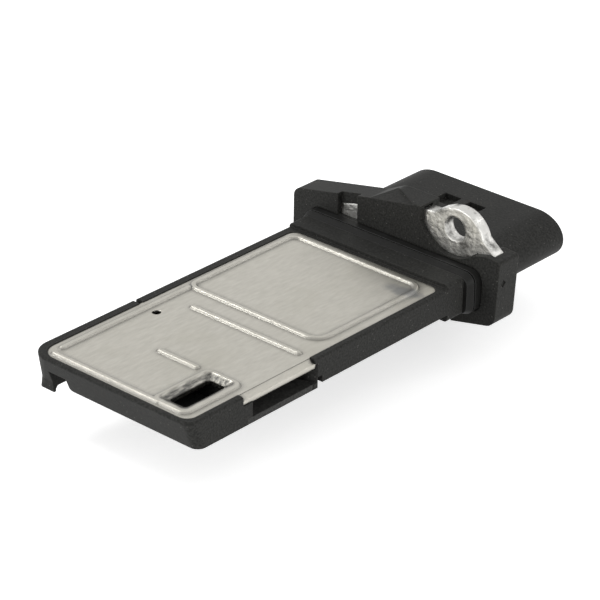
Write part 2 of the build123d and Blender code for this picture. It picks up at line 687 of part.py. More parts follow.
window_right = WINDOW_LEFT + WINDOW_WIDTH
latch_rear = SHROUD_REACH - LATCH_FROM_MOUTH
with BuildPart() as housing:
    # the blade, whose tip slants inwards, with its upper edge rounded
    with BuildSketch(level(BLADE_TOP)):
        tip_outline(-BLADE_REACH, TIP_RADIUS_LEFT)
    with BuildSketch(level(front_floor)):
        tip_outline(tip_floor, TIP_RADIUS_FLOOR)
    loft(ruled=True)
    rim = housing.faces().sort_by(Axis.Z)[-1].edges().sort_by(Axis.Y)[:-1]
    fillet(rim, radius=RIM_ROUNDING)
    cut_block((-half_width, half_width), (-split_reach, blade_rear), (front_floor, rear_floor))
    # the corner foot and the rib behind it
    with BuildSketch(level(front_floor)):
        foot_outline(tip_floor, TIP_RADIUS_FLOOR)
    with BuildSketch(level(foot_floor)):
        foot_outline(tip_floor + FOOT_DRAFT, FOOT_RADIUS)
    loft(ruled=True)
    with BuildSketch(Plane.YZ.offset(drain_left)):
        with BuildLine():
            Polyline(foot_hollow, close=True)
        make_face()
    extrude(amount=-DRAIN_FROM_SIDE, mode=Mode.SUBTRACT)
    # the neck and the core that carries the seal
    with BuildSketch(across(-NECK_REACH)):
        with Locations((0, neck_middle)):
            RectangleRounded(BLADE_WIDTH, neck_height, NECK_EDGE)
    extrude(amount=-(NECK_REACH - SEAL_REACH))
    with BuildSketch(across(-SEAL_REACH)):
        with Locations((0, neck_middle)):
            RectangleRounded(
                BLADE_WIDTH - 2 * SEAL_GROOVE,
                neck_height - 2 * SEAL_GROOVE,
                SEAL_BORE,
            )
    extrude(amount=-SEAL_REACH)
    # the flange
    with BuildSketch(across(0)):
        with BuildLine():
            FilletPolyline(*flange_upper, *flange_lower, radius=flange_radii, close=True)
        make_face()
        with Locations(EYE_CUT_CENTRE, (-EYE_CUT_CENTRE[0], -EYE_CUT_CENTRE[1])):
            Circle(EYE_CUT_RADIUS, mode=Mode.SUBTRACT)
        with Locations((BOSS_END - 1, (BOSS_END_FLOOR + FLANGE_EAR[0][1]) / 2)):
            Rectangle(2, FLANGE_EAR[0][1] - BOSS_END_FLOOR)
        with Locations((1 - BOSS_END, -(BOSS_END_FLOOR + FLANGE_EAR[0][1]) / 2)):
            Rectangle(2, FLANGE_EAR[0][1] - BOSS_END_FLOOR)
    extrude(amount=-FLANGE_THICK)
    # the sloping facet in front of the ramp up to the boss, and its twin half a turn away
    ramp_foot = Vector(FLANGE_RAMP[0][0], 0, FLANGE_RAMP[0][1])
    along_front = Vector(BOSS_END, 0, FLANGE_RAMP[1][1]) - ramp_foot
    to_ramp_head = Vector(FLANGE_RAMP[1][0], FLANGE_THICK, FLANGE_RAMP[1][1]) - ramp_foot
    facet_up = along_front.cross(to_ramp_head)
    turned_foot = Vector(-ramp_foot.X, 0, -ramp_foot.Z)
    turned_up = Vector(-facet_up.X, facet_up.Y, -facet_up.Z)
    for foot, up in ((ramp_foot, facet_up), (turned_foot, turned_up)):
        with BuildSketch(Plane(origin=foot, x_dir=(foot.X, 0, foot.Z), z_dir=up)):
            Rectangle(2 * BLADE_WIDTH, 2 * FLANGE_THICK)
        extrude(amount=FLANGE_THICK, mode=Mode.SUBTRACT)
    # the diamond-shaped recess in its right end
    with BuildSketch(Plane.YZ.offset(FLANGE_RIGHT - FLANGE_LEAN / 3 - MARK_DEPTH)):
        with Locations(MARK_PLACE):
            RegularPolygon(MARK_SIZE, 4)
    extrude(amount=1, mode=Mode.SUBTRACT)
    # the recess that the seal is let into
    with BuildSketch(across(0)):
        with Locations((0, neck_middle)):
            RectangleRounded(
                seal_width + 2 * SEAL_CLEAR,
                seal_height + 2 * SEAL_CLEAR,
                SEAL_RADIUS + SEAL_CLEAR,
            )
            RectangleRounded(
                BLADE_WIDTH - 2 * SEAL_GROOVE,
                neck_height - 2 * SEAL_GROOVE,
                SEAL_BORE,
                mode=Mode.SUBTRACT,
            )
    extrude(amount=-SEAL_RECESS, mode=Mode.SUBTRACT)
    # the connector shroud and its socket
    with BuildSketch(Plane(origin=(0, FLANGE_THICK, SHROUD_CENTRE), x_dir=(1, 0, 0), z_dir=(0, -1, 0))):
        oval(SHROUD_HALF_WIDTH, SHROUD_HALF_HEIGHT, SHROUD_END)
    extrude(amount=-(SHROUD_REACH - FLANGE_THICK))
    with BuildSketch(Plane(origin=(0, shroud_floor, SHROUD_CENTRE), x_dir=(1, 0, 0), z_dir=(0, -1, 0))):
        oval(
            SHROUD_HALF_WIDTH - SHROUD_WALL,
            SHROUD_HALF_HEIGHT - SHROUD_WALL,
            SHROUD_END - SHROUD_WALL,
        )
    extrude(amount=-SOCKET_DEPTH, mode=Mode.SUBTRACT)
    mouth = housing.faces().sort_by(Axis.Y)[-1]
    chamfer(mouth.edges(), length=0.25)
    # two pockets in the shroud's upper wall for the plug's latch
    shroud_top = SHROUD_CENTRE + SHROUD_HALF_HEIGHT
    for side in (-1, 1):
        inner = side * LATCH_RIB / 2
        outer = side * (LATCH_RIB / 2 + LATCH_WIDTH)
        cut_block(
            (min(inner, outer), max(inner, outer)),
            (latch_rear - LATCH_LENGTH, latch_rear),
            (shroud_top - LATCH_DEPTH, shroud_top),
        )
    # the openings in the flange's two faces that bare the metal plate
    above_flange = FLANGE_EAR[0][1] + 1
    cut_block((WINDOW_LEFT, window_right), (-1, METAL_FRONT), (WINDOW_FLOOR, above_flange))
    cut_block((-window_right, -WINDOW_LEFT), (-1, METAL_FRONT), (-above_flange, -WINDOW_FLOOR))
    # the gap above the metal plate in the boss's end wall
    boss_gap = (METAL_EDGE[0][1], METAL_EDGE[0][1] + BOSS_SLOT)
    cut_block((BOSS_END - 1, BOSS_END), (METAL_FRONT, metal_back), boss_gap)
    cut_block((-BOSS_END, 1 - BOSS_END), (METAL_FRONT, metal_back), (-boss_gap[1], -boss_gap[0]))
    # the seat of the base plate, open to the right for the tab
    with BuildSketch(level(plate_seat)):
        plate_outline()
    extrude(amount=BLADE_TOP - plate_seat, mode=Mode.SUBTRACT)
    with BuildSketch(across(tab_front)):
        with BuildLine():
            Polyline(
                (tab_inside, plate_seat),
                (tab_inside, BLADE_TOP),
                (half_width + 1, BLADE_TOP),
                (half_width + 1, tab_low - PLATE_THICK),
                (half_width - TAB_LEAN, tab_low - PLATE_THICK),
                (half_width - TAB_SLOPE - TAB_LEAN, plate_seat),
                close=True,
            )
        make_face()
    extrude(amount=tab_front - tab_rear, mode=Mode.SUBTRACT)
    # the slot in the left rim
    rim_slot = -(split_reach + RIM_SLOT_PLACE)
    cut_block((-half_width, plate_left), (rim_slot - RIM_SLOT_LENGTH, rim_slot), (plate_seat, BLADE_TOP))
    # the air passage
    with BuildSketch(level(front_cover_seat)):
        with BuildLine():
            FilletPolyline(*passage_points, radius=passage_radii, close=True)
        make_face()
    extrude(amount=plate_seat - front_cover_seat, mode=Mode.SUBTRACT)
    # the seats of both lower covers and the slot between the two parts' undersides
    add(bypass_cover.part, mode=Mode.SUBTRACT)
    add(circuit_cover.part, mode=Mode.SUBTRACT)
    with BuildSketch(level(front_floor)):
        with Locations(drain_centre):
            Circle(DRAIN_RADIUS)
        with Locations((drain_left + DRAIN_RADIUS, passage_front + DRAIN_RADIUS)):
            Rectangle(2 * DRAIN_RADIUS, 2 * DRAIN_RADIUS, mode=Mode.INTERSECT)
    extrude(amount=COVER_THICK, mode=Mode.SUBTRACT)
    cut_block(
        (drain_left, drain_left + DRAIN_WIDTH),
        (-BLADE_REACH, passage_front + 0.01),
        (front_floor, front_floor + DRAIN_HEIGHT),
    )
    notch_right = drain_left + DRAIN_WIDTH
    beside = housing.edges().filter_by(Axis.Y)
    beside = beside.filter_by_position(Axis.Z, front_floor - 0.01, front_floor + 0.01)
    beside = beside.filter_by_position(Axis.X, notch_right - 0.01, notch_right + 0.01)
    fillet(beside.sort_by(Axis.Y)[0], radius=DRAIN_CORNER)
    cut_block(
        (-half_width, half_width),
        (-split_reach, -split_reach + SPLIT_GAP),
        (front_floor, split_roof),
    )
    # the circuit chamber with the ledge under which the terminals end
    cut_block(
        (-chamber_half, chamber_half),
        (-chamber_start, -ledge_end),
        (rear_cover_seat, plate_seat),
    )
    cut_block(
        (-chamber_half, chamber_half),
        (-ledge_end, -CHAMBER_END),
        (rear_cover_seat, terminal_top),
    )
    # everything that is moulded in or laid into its own groove
    add(metal_body, mode=Mode.SUBTRACT)
    for piece in terminals:
        add(piece, mode=Mode.SUBTRACT)
    add(carrier_body, mode=Mode.SUBTRACT)
    for piece in leads:
        add(piece, mode=Mode.SUBTRACT)
    add(plate_sealant.part, mode=Mode.SUBTRACT)
    add(cover_sealant.part, mode=Mode.SUBTRACT)
housing.part.label = "housing"
export_step(housing.part, "parts/housing.step")

# circuit_board: a ceramic board glued under the base plate, with its parts on the lower side
with BuildPart() as circuit_board:
    block((-board_half, board_half), (board_front, board_rear), (board_floor, board_top))
circuit_board.part.label = "circuit_board"
export_step(circuit_board.part, "parts/circuit_board.step")

# board_adhesive: the layer of heat-conducting glue between the board and the base plate
with BuildPart() as board_adhesive:
    block(
        (-board_half + GLUE_INSET, board_half - GLUE_INSET),
        (board_front + GLUE_INSET, board_rear - GLUE_INSET),
        (board_top, plate_seat),
    )
board_adhesive.part.label = "board_adhesive"
export_step(board_adhesive.part, "parts/board_adhesive.step")


def under_board(size, place):
    """A chip part of the given size that hangs under the board."""
    with Locations((place[0], place[1], board_floor - size[2] / 2)):
        Box(*size)


# control_ic: the large moulded chip in the middle of the board
with BuildPart() as control_ic:
    under_board(IC_SIZE, (IC_PLACE, board_middle))
    chamfer(control_ic.faces().sort_by(Axis.Z)[0].edges(), length=0.15)
control_ic.part.label = "control_ic"
export_step(control_ic.part, "parts/control_ic.step")

# regulator_ic: the smaller moulded chip beside it
with BuildPart() as regulator_ic:
    under_board(REGULATOR_SIZE, (REGULATOR_PLACE, board_middle))
    chamfer(regulator_ic.faces().sort_by(Axis.Z)[0].edges(), length=0.15)
regulator_ic.part.label = "regulator_ic"
export_step(regulator_ic.part, "parts/regulator_ic.step")

# chip_capacitors: one beside each terminal and two by the smaller chip
with BuildPart() as chip_capacitors:
    for column in range(TERMINAL_COUNT):
        offset_across = (column - (TERMINAL_COUNT - 1) / 2) * TERMINAL_PITCH
        under_board(CAPACITOR_SIZE, (offset_across, board_rear - CAPACITOR_ROW))
    beside_regulator = board_middle - (REGULATOR_SIZE[1] + CAPACITOR_SIZE[1]) / 2 - PART_GAP
    for row in range(2):
        under_board(CAPACITOR_SIZE, (REGULATOR_PLACE, beside_regulator - row * CAPACITOR_PITCH))
chip_capacitors.part.label = "chip_capacitors"
export_step(chip_capacitors.part, "parts/chip_capacitors.step")

# chip_resistors: two rows in front of the large chip, beside the tongue
resistor_column = -(CARRIER_WIDTH / 2 + PART_GAP)
resistor_row = board_middle - IC_SIZE[1] / 2 - PART_GAP - RESISTOR_SIZE[1] / 2
with BuildPart() as chip_resistors:
    for column in range(4):
        for row in range(2):
            x_place = resistor_column - column * RESISTOR_PITCH[0]
            under_board(RESISTOR_SIZE, (x_place, resistor_row - row * RESISTOR_PITCH[1]))
chip_resistors.part.label = "chip_resistors"
export_step(chip_resistors.part, "parts/chip_resistors.step")

# bond_wires: one aluminium wire from each terminal's underside to the board
wire_start = -(ledge_end - WIRE_INSET)
wire_end = board_rear - WIRE_INSET
with BuildPart() as bond_wires:
    for column in range(TERMINAL_COUNT):
        offset_across = (column - (TERMINAL_COUNT - 1) / 2) * TERMINAL_PITCH
        start = (offset_across, wire_start, terminal_floor)
        low_start = (offset_across, wire_start, terminal_floor - WIRE_SAG)
        low_end = (offset_across, wire_end, terminal_floor - WIRE_SAG)
        end = (offset_across, wire_end, board_floor)
        with BuildLine() as wire_path:
            Polyline(start, low_start, low_end, end)
        with BuildSketch(Plane(origin=start, z_dir=(0, 0, -1))):
            Circle(WIRE_DIAMETER / 2)
        sweep(path=wire_path.line, transition=Transition.RIGHT)
    for piece in terminals:
        add(piece, mode=Mode.SUBTRACT)
    add(circuit_board.part, mode=Mode.SUBTRACT)
bond_wires.part.label = "bond_wires"
export_step(bond_wires.part, "parts/bond_wires.step")
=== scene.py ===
import math
import bmesh
import bpy
from mathutils import Matrix, Vector


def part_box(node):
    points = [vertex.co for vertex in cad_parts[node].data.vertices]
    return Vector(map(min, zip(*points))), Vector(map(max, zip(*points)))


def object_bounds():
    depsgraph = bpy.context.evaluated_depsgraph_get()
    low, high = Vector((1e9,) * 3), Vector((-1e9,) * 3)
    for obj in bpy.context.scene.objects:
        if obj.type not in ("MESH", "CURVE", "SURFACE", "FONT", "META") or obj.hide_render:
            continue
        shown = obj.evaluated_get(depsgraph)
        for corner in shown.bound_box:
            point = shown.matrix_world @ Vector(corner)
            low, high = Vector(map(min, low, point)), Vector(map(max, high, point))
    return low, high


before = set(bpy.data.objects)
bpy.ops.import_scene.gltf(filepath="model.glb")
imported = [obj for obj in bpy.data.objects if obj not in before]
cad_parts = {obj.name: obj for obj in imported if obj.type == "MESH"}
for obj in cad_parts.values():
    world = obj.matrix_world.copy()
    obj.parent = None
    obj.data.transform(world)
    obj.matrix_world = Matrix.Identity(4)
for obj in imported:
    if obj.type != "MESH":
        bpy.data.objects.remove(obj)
cad_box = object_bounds()

# Housing: one black moulding of glass-filled PBT with blade, neck, flange and plug shroud. It is
# moulded in a spark-eroded tool, which leaves a fine matt grain; its edges are painted lighter,
# partly as handling wear and partly as a painted highlight.
PBT_BASE = "2A2A29"
PBT_FLOW = "333331"
# edge colour: partly handling wear, partly painted highlight
PBT_EDGE = "504F4C"
PBT_DUST = "9A9892"
PBT_GRAIN_MM = 0.35          # the real grain is about 0.05 mm, too fine to show here
PBT_FLOW_MM = 9.0
PBT_DUST_MM = 1.1
PBT_EDGE_MM = 0.22
PBT_GRAIN_DEPTH_MM = 0.06
PBT_ROUGHNESS = (0.46, 0.60)


def linear(code):
    """An sRGB hex colour as the linear colour a socket takes."""
    parts = [int(code[i:i + 2], 16) / 255 for i in (0, 2, 4)]
    return (*[c / 12.92 if c <= 0.04045 else ((c + 0.055) / 1.055) ** 2.4 for c in parts], 1)


def add_node(material, kind, settings=(), values=(), links=()):
    """Adds a node with its settings, socket values and links from other nodes' sockets."""
    node = material.node_tree.nodes.new("ShaderNode" + kind)
    for name, value in dict(settings).items():
        setattr(node, name, value)
    for name, value in dict(values).items():
        node.inputs[name].default_value = value
    for name, source in dict(links).items():
        material.node_tree.links.new(source, node.inputs[name])
    return node


def start_material(name, **values):
    """A new material, its surface shader and the object's own coordinates."""
    material = bpy.data.materials.new(name)
    material.use_nodes = True
    shader = material.node_tree.nodes["Principled BSDF"]
    for socket, value in values.items():
        shader.inputs[socket.replace("_", " ")].default_value = value
    place = add_node(material, "TexCoord").outputs["Object"]
    return material, shader, place


def dress(material, *names):
    """Gives a finished material to nodes of the frame."""
    for name in names:
        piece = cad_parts[name]
        if not piece.material_slots:
            piece.data.materials.append(material)
        for slot in piece.material_slots:
            slot.material = material


def moulded_black(name, base, flow, edge, roughness):
    """Matt black moulded plastic: flow marks, grain, dust and lighter edges, partly wear and partly
    painted highlight.
    """
    material, shader, place = start_material(name, Specular_IOR_Level=0.06, IOR=1.55)
    link = material.node_tree.links.new
    stretched = add_node(
        material, "Mapping", values={"Scale": (1.0, 0.35, 1.0)}, links={"Vector": place},
    )
    marks = add_node(
        material, "TexNoise",
        values={"Scale": 1000 / PBT_FLOW_MM, "Detail": 3.0, "Roughness": 0.55},
        links={"Vector": stretched.outputs[0]},
    )
    grain = add_node(
        material, "TexNoise",
        values={"Scale": 1000 / PBT_GRAIN_MM, "Detail": 2.0},
        links={"Vector": place},
    )
    tone = add_node(
        material, "Mix", {"data_type": "RGBA"},
        {"A": linear(base), "B": linear(flow)},
        {"Factor": marks.outputs["Fac"]},
    )
    pits = add_node(
        material, "MapRange",
        values={"From Min": 0.35, "From Max": 0.65, "To Min": 0.65, "To Max": 1.3},
        links={"Value": grain.outputs["Fac"]},
    )
    grained = add_node(
        material, "Mix", {"data_type": "RGBA", "blend_type": "MULTIPLY"}, {"Factor": 1.0},
        {"A": tone.outputs["Result"], "B": pits.outputs[0]},
    )
    rounded = add_node(material, "Bevel", {"samples": 6}, {"Radius": PBT_EDGE_MM / 1000})
    plain = add_node(material, "NewGeometry")
    turn = add_node(
        material, "VectorMath", {"operation": "DOT_PRODUCT"},
        links={0: rounded.outputs[0], 1: plain.outputs["Normal"]},
    )
    # lighter edges found from the bevelled normal: partly handling wear, partly painted highlight
    edge_wear_and_highlight = add_node(
        material, "MapRange",
        values={"From Min": 0.995, "From Max": 0.80, "To Min": 0.0, "To Max": 0.7},
        links={"Value": turn.outputs["Value"]},
    )
    patchy = add_node(
        material, "Math", {"operation": "MULTIPLY"},
        links={0: edge_wear_and_highlight.outputs[0], 1: marks.outputs["Fac"]},
    )
    edged = add_node(
        material, "Mix", {"data_type": "RGBA"}, {"B": linear(edge)},
        {"Factor": patchy.outputs[0], "A": grained.outputs["Result"]},
    )
    specks = add_node(
        material, "TexVoronoi", {"feature": "F1"},
        {"Scale": 1000 / PBT_DUST_MM}, {"Vector": place},
    )
    dust = add_node(
        material, "MapRange",
        values={"From Min": 0.11, "From Max": 0.04, "To Min": 0.0, "To Max": 0.3},
        links={"Value": specks.outputs["Distance"]},
    )
    dusted = add_node(
        material, "Mix", {"data_type": "RGBA"}, {"B": linear(PBT_DUST)},
        {"Factor": dust.outputs[0], "A": edged.outputs["Result"]},
    )
    link(dusted.outputs["Result"], shader.inputs["Base Color"])
    gloss = add_node(
        material, "MapRange",
        values={"From Min": 0.3, "From Max": 0.7, "To Min": roughness[0], "To Max": roughness[1]},
        links={"Value": grain.outputs["Fac"]},
    )
    link(gloss.outputs[0], shader.inputs["Roughness"])
    skin = add_node(
        material, "Bump", values={"Strength": 0.5, "Distance": PBT_GRAIN_DEPTH_MM / 1000},
        links={"Height": grain.outputs["Fac"], "Normal": rounded.outputs[0]},
    )
    link(skin.outputs[0], shader.inputs["Normal"])
    return material


moulding = moulded_black("black moulded PBT", PBT_BASE, PBT_FLOW, PBT_EDGE, PBT_ROUGHNESS)
dress(moulding, "housing")

# Lower covers: two flat lids of the same black PBT, laser-welded or glued into the housing's
# underside. Their flat tool gives them a slightly smoother, paler face than the housing.
COVER_BASE = "343433"
COVER_FLOW = "3D3D3B"
# edge colour: partly handling wear, partly painted highlight
COVER_EDGE = "6A6966"
COVER_ROUGHNESS = (0.34, 0.44)
lid = moulded_black("black PBT lid", COVER_BASE, COVER_FLOW, COVER_EDGE, COVER_ROUGHNESS)
dress(lid, "bypass_cover", "circuit_cover")

# Base plate: pressed aluminium sheet, bare and matt. Rolling leaves faint lines along the blade,
# and the press leaves soft mottling. Painted shade darkens its creases and the steep inner slope of
# the rim round the outlet window. Handling leaves dull stains, and one rear corner of the pan is
# painted darker.
SHEET_BASE = "C8C5BC"
SHEET_LINE = "A9A69D"
SHEET_STAIN = "ACA99D"
# painted shade for the creases at the foot of the beads
SHEET_CREASE_SHADE = "62615E"
SHEET_CORNER_DARK = "77797C"
SHEET_LINE_MM = 0.5          # the real rolling lines are finer than can show here
SHEET_MOTTLE_MM = 5.0
SHEET_STAIN_MM = 14.0
SHEET_EDGE_MM = 0.35
SHEET_CREASE_SHADE_MM = 1.2
SHEET_MOTTLE_DEPTH_MM = 0.12
SHEET_LINE_DEPTH_MM = 0.01
SHEET_CORNER_PLACE_MM = (12.4, -12.3, 2.3)
SHEET_CORNER_SIZE_MM = (4.6, 2.2, 4.0)
RING_MIDDLE_MM = (11.04, -60.0, 0.0)      # middle of the rim round the outlet window
RING_HALF_MM = (3.44, 6.2, 0.0)           # from there to its crest, across and along the blade
RING_CORNER_MM = 1.4
RING_SLOPE_SHADE = "3F3F3E"                     # painted shade on the steep inner slope, streaked along the rolling lines
RING_SHADE_FROM_MM = 0.25                 # it starts this far inside the crest
RING_SHADE_TO_MM = 0.7                    # and is fully shaded from here on
sheet, shader, place = start_material("rolled aluminium sheet", Metallic=1.0)
link = sheet.node_tree.links.new
along = add_node(sheet, "Mapping", values={"Scale": (1.0, 0.2, 1.0)}, links={"Vector": place})
lines = add_node(
    sheet, "TexNoise", values={"Scale": 1000 / SHEET_LINE_MM, "Detail": 3.0, "Roughness": 0.6},
    links={"Vector": along.outputs[0]},
)
mottle = add_node(
    sheet, "TexNoise", values={"Scale": 1000 / SHEET_MOTTLE_MM, "Detail": 4.0, "Roughness": 0.6},
    links={"Vector": place},
)
stains = add_node(
    sheet, "TexNoise", values={"Scale": 1000 / SHEET_STAIN_MM, "Detail": 5.0, "Roughness": 0.65},
    links={"Vector": place},
)
tone = add_node(
    sheet, "Mix", {"data_type": "RGBA"}, {"A": linear(SHEET_BASE), "B": linear(SHEET_LINE)},
    {"Factor": lines.outputs["Fac"]},
)
patches = add_node(
    sheet, "MapRange", values={"From Min": 0.50, "From Max": 0.75, "To Min": 0.0, "To Max": 0.5},
    links={"Value": stains.outputs["Fac"]},
)
stained = add_node(
    sheet, "Mix", {"data_type": "RGBA"}, {"B": linear(SHEET_STAIN)},
    {"Factor": patches.outputs[0], "A": tone.outputs["Result"]},
)
# a darker, ragged patch painted in one rear corner of the pan
from_dark_corner = add_node(
    sheet, "VectorMath", {"operation": "SUBTRACT"},
    {1: [c / 1000 for c in SHEET_CORNER_PLACE_MM]}, {0: place},
)
dark_corner_share = add_node(
    sheet, "VectorMath", {"operation": "DIVIDE"},
    {1: [c / 1000 for c in SHEET_CORNER_SIZE_MM]}, {0: from_dark_corner.outputs[0]},
)
dark_corner_reach = add_node(sheet, "VectorMath", {"operation": "LENGTH"}, links={0: dark_corner_share.outputs[0]})
dark_corner_ragged = add_node(
    sheet, "Math", {"operation": "MULTIPLY_ADD"}, {1: 1.6},
    {0: mottle.outputs["Fac"], 2: dark_corner_reach.outputs["Value"]},
)
dark_corner = add_node(
    sheet, "MapRange", values={"From Min": 1.75, "From Max": 1.35, "To Min": 0.0, "To Max": 0.65},
    links={"Value": dark_corner_ragged.outputs[0]},
)
corner_darkened = add_node(
    sheet, "Mix", {"data_type": "RGBA"}, {"B": linear(SHEET_CORNER_DARK)},
    {"Factor": dark_corner.outputs[0], "A": stained.outputs["Result"]},
)
# painted shade: ambient occlusion darkens the sheet in creases and at the foot of each bead
shelter = add_node(
    sheet, "AmbientOcclusion", {"samples": 8}, {"Distance": SHEET_CREASE_SHADE_MM / 1000},
)
crease_shade = add_node(
    sheet, "MapRange", values={"From Min": 0.97, "From Max": 0.82, "To Min": 0.0, "To Max": 1.0},
    links={"Value": shelter.outputs["AO"]},
)
crease_shaded = add_node(
    sheet, "Mix", {"data_type": "RGBA"}, {"B": linear(SHEET_CREASE_SHADE)},
    {"Factor": crease_shade.outputs[0], "A": corner_darkened.outputs["Result"]},
)
gloss = add_node(
    sheet, "MapRange", values={"From Min": 0.3, "From Max": 0.7, "To Min": 0.30, "To Max": 0.38},
    links={"Value": mottle.outputs["Fac"]},
)
link(gloss.outputs[0], shader.inputs["Roughness"])
rounded = add_node(sheet, "Bevel", {"samples": 6}, {"Radius": SHEET_EDGE_MM / 1000})
from_ring = add_node(
    sheet, "VectorMath", {"operation": "SUBTRACT"},
    {1: [c / 1000 for c in RING_MIDDLE_MM]}, {0: place},
)
ring_side = add_node(
    sheet, "VectorMath", {"operation": "ABSOLUTE"}, links={0: from_ring.outputs[0]},
)
ring_past = add_node(
    sheet, "VectorMath", {"operation": "SUBTRACT"},
    {1: [(c - RING_CORNER_MM) / 1000 for c in RING_HALF_MM]}, {0: ring_side.outputs[0]},
)
ring_flat = add_node(
    sheet, "VectorMath", {"operation": "MULTIPLY"}, {1: (1, 1, 0)}, {0: ring_past.outputs[0]},
)
ring_corner = add_node(
    sheet, "VectorMath", {"operation": "MAXIMUM"}, {1: (0, 0, 0)}, {0: ring_flat.outputs[0]},
)
ring_outside = add_node(
    sheet, "VectorMath", {"operation": "LENGTH"}, links={0: ring_corner.outputs[0]},
)
ring_parts = add_node(sheet, "SeparateXYZ", links={0: ring_past.outputs[0]})
ring_nearest = add_node(
    sheet, "Math", {"operation": "MAXIMUM"},
    links={0: ring_parts.outputs["X"], 1: ring_parts.outputs["Y"]},
)
ring_inside = add_node(
    sheet, "Math", {"operation": "MINIMUM"}, {1: 0.0}, {0: ring_nearest.outputs[0]},
)
ring_both = add_node(
    sheet, "Math", {"operation": "ADD"},
    links={0: ring_outside.outputs["Value"], 1: ring_inside.outputs[0]},
)
ring_away = add_node(
    sheet, "Math", {"operation": "SUBTRACT"}, {1: RING_CORNER_MM / 1000}, {0: ring_both.outputs[0]},
)
# painted shade on the steep inner slope of the window rim, inside its crest
drawn = add_node(
    sheet, "MapRange",
    values={
        "From Min": -RING_SHADE_FROM_MM / 1000, "From Max": -RING_SHADE_TO_MM / 1000,
        "To Min": 0.0, "To Max": 1.0,
    },
    links={"Value": ring_away.outputs[0]},
)
shade_streaks = add_node(
    sheet, "MapRange", values={"From Min": 0.35, "From Max": 0.6, "To Min": 0.35, "To Max": 0.9},
    links={"Value": lines.outputs["Fac"]},
)
streaked_slope_shade = add_node(
    sheet, "Math", {"operation": "MULTIPLY"}, links={0: drawn.outputs[0], 1: shade_streaks.outputs[0]},
)
finished = add_node(
    sheet, "Mix", {"data_type": "RGBA"}, {"B": linear(RING_SLOPE_SHADE)},
    {"Factor": streaked_slope_shade.outputs[0], "A": crease_shaded.outputs["Result"]},
)
link(finished.outputs["Result"], shader.inputs["Base Color"])
waves = add_node(
    sheet, "Bump", values={"Strength": 0.25, "Distance": SHEET_MOTTLE_DEPTH_MM / 1000},
    links={"Height": mottle.outputs["Fac"], "Normal": rounded.outputs[0]},
)
grooves = add_node(
    sheet, "Bump", values={"Strength": 0.2, "Distance": SHEET_LINE_DEPTH_MM / 1000},
    links={"Height": lines.outputs["Fac"], "Normal": waves.outputs[0]},
)
link(grooves.outputs[0], shader.inputs["Normal"])
dress(sheet, "base_plate")

# Mounting plate: steel plate blanked from thick sheet, tumbled to break its edges and plated with
# zinc, then moulded into the flange. Tumbling leaves small dents, and the zinc is pale and cloudy.
BLANK_BASE = "D0CFCB"
BLANK_DULL = "767572"
BLANK_CLOUD_MM = 3.0
BLANK_DENT_MM = 0.9
BLANK_EDGE_MM = 0.45
BLANK_DENT_DEPTH_MM = 0.15
blank, shader, place = start_material("zinc-plated tumbled steel", Metallic=1.0)
link = blank.node_tree.links.new
clouds = add_node(
    blank, "TexNoise", values={"Scale": 1000 / BLANK_CLOUD_MM, "Detail": 5.0, "Roughness": 0.65},
    links={"Vector": place},
)
dents = add_node(
    blank, "TexNoise", values={"Scale": 1000 / BLANK_DENT_MM, "Detail": 2.0},
    links={"Vector": place},
)
dull = add_node(
    blank, "MapRange", values={"From Min": 0.50, "From Max": 0.66, "To Min": 0.0, "To Max": 1.0},
    links={"Value": clouds.outputs["Fac"]},
)
tone = add_node(
    blank, "Mix", {"data_type": "RGBA"}, {"A": linear(BLANK_BASE), "B": linear(BLANK_DULL)},
    {"Factor": dull.outputs[0]},
)
link(tone.outputs["Result"], shader.inputs["Base Color"])
gloss = add_node(
    blank, "MapRange", values={"From Min": 0.3, "From Max": 0.7, "To Min": 0.28, "To Max": 0.48},
    links={"Value": clouds.outputs["Fac"]},
)
link(gloss.outputs[0], shader.inputs["Roughness"])
rounded = add_node(blank, "Bevel", {"samples": 6}, {"Radius": BLANK_EDGE_MM / 1000})
hammered = add_node(
    blank, "Bump", values={"Strength": 0.6, "Distance": BLANK_DENT_DEPTH_MM / 1000},
    links={"Height": dents.outputs["Fac"], "Normal": rounded.outputs[0]},
)
link(hammered.outputs[0], shader.inputs["Normal"])
dress(blank, "mounting_plate")

# Seal: a ring of black silicone rubber with two lips. Rubber is nearly black with a soft sheen,
# its mould leaves a faint texture, and its edges carry a paler painted highlight.
RUBBER_BASE = "1D1D1C"
RUBBER_BLOOM = "282827"
# colour of the painted highlight along the seal's edges
RUBBER_HIGHLIGHT = "5A5A5A"
RUBBER_BLOOM_MM = 2.5
RUBBER_TEXTURE_MM = 0.4
RUBBER_EDGE_MM = 0.2
RUBBER_TEXTURE_DEPTH_MM = 0.03
rubber, shader, place = start_material("black silicone rubber", IOR=1.42, Specular_IOR_Level=0.12)
link = rubber.node_tree.links.new
bloom = add_node(
    rubber, "TexNoise", values={"Scale": 1000 / RUBBER_BLOOM_MM, "Detail": 4.0},
    links={"Vector": place},
)
texture = add_node(
    rubber, "TexNoise", values={"Scale": 1000 / RUBBER_TEXTURE_MM, "Detail": 2.0},
    links={"Vector": place},
)
tone = add_node(
    rubber, "Mix", {"data_type": "RGBA"}, {"A": linear(RUBBER_BASE), "B": linear(RUBBER_BLOOM)},
    {"Factor": bloom.outputs["Fac"]},
)
rounded = add_node(rubber, "Bevel", {"samples": 6}, {"Radius": RUBBER_EDGE_MM / 1000})
plain = add_node(rubber, "NewGeometry")
turn = add_node(
    rubber, "VectorMath", {"operation": "DOT_PRODUCT"},
    links={0: rounded.outputs[0], 1: plain.outputs["Normal"]},
)
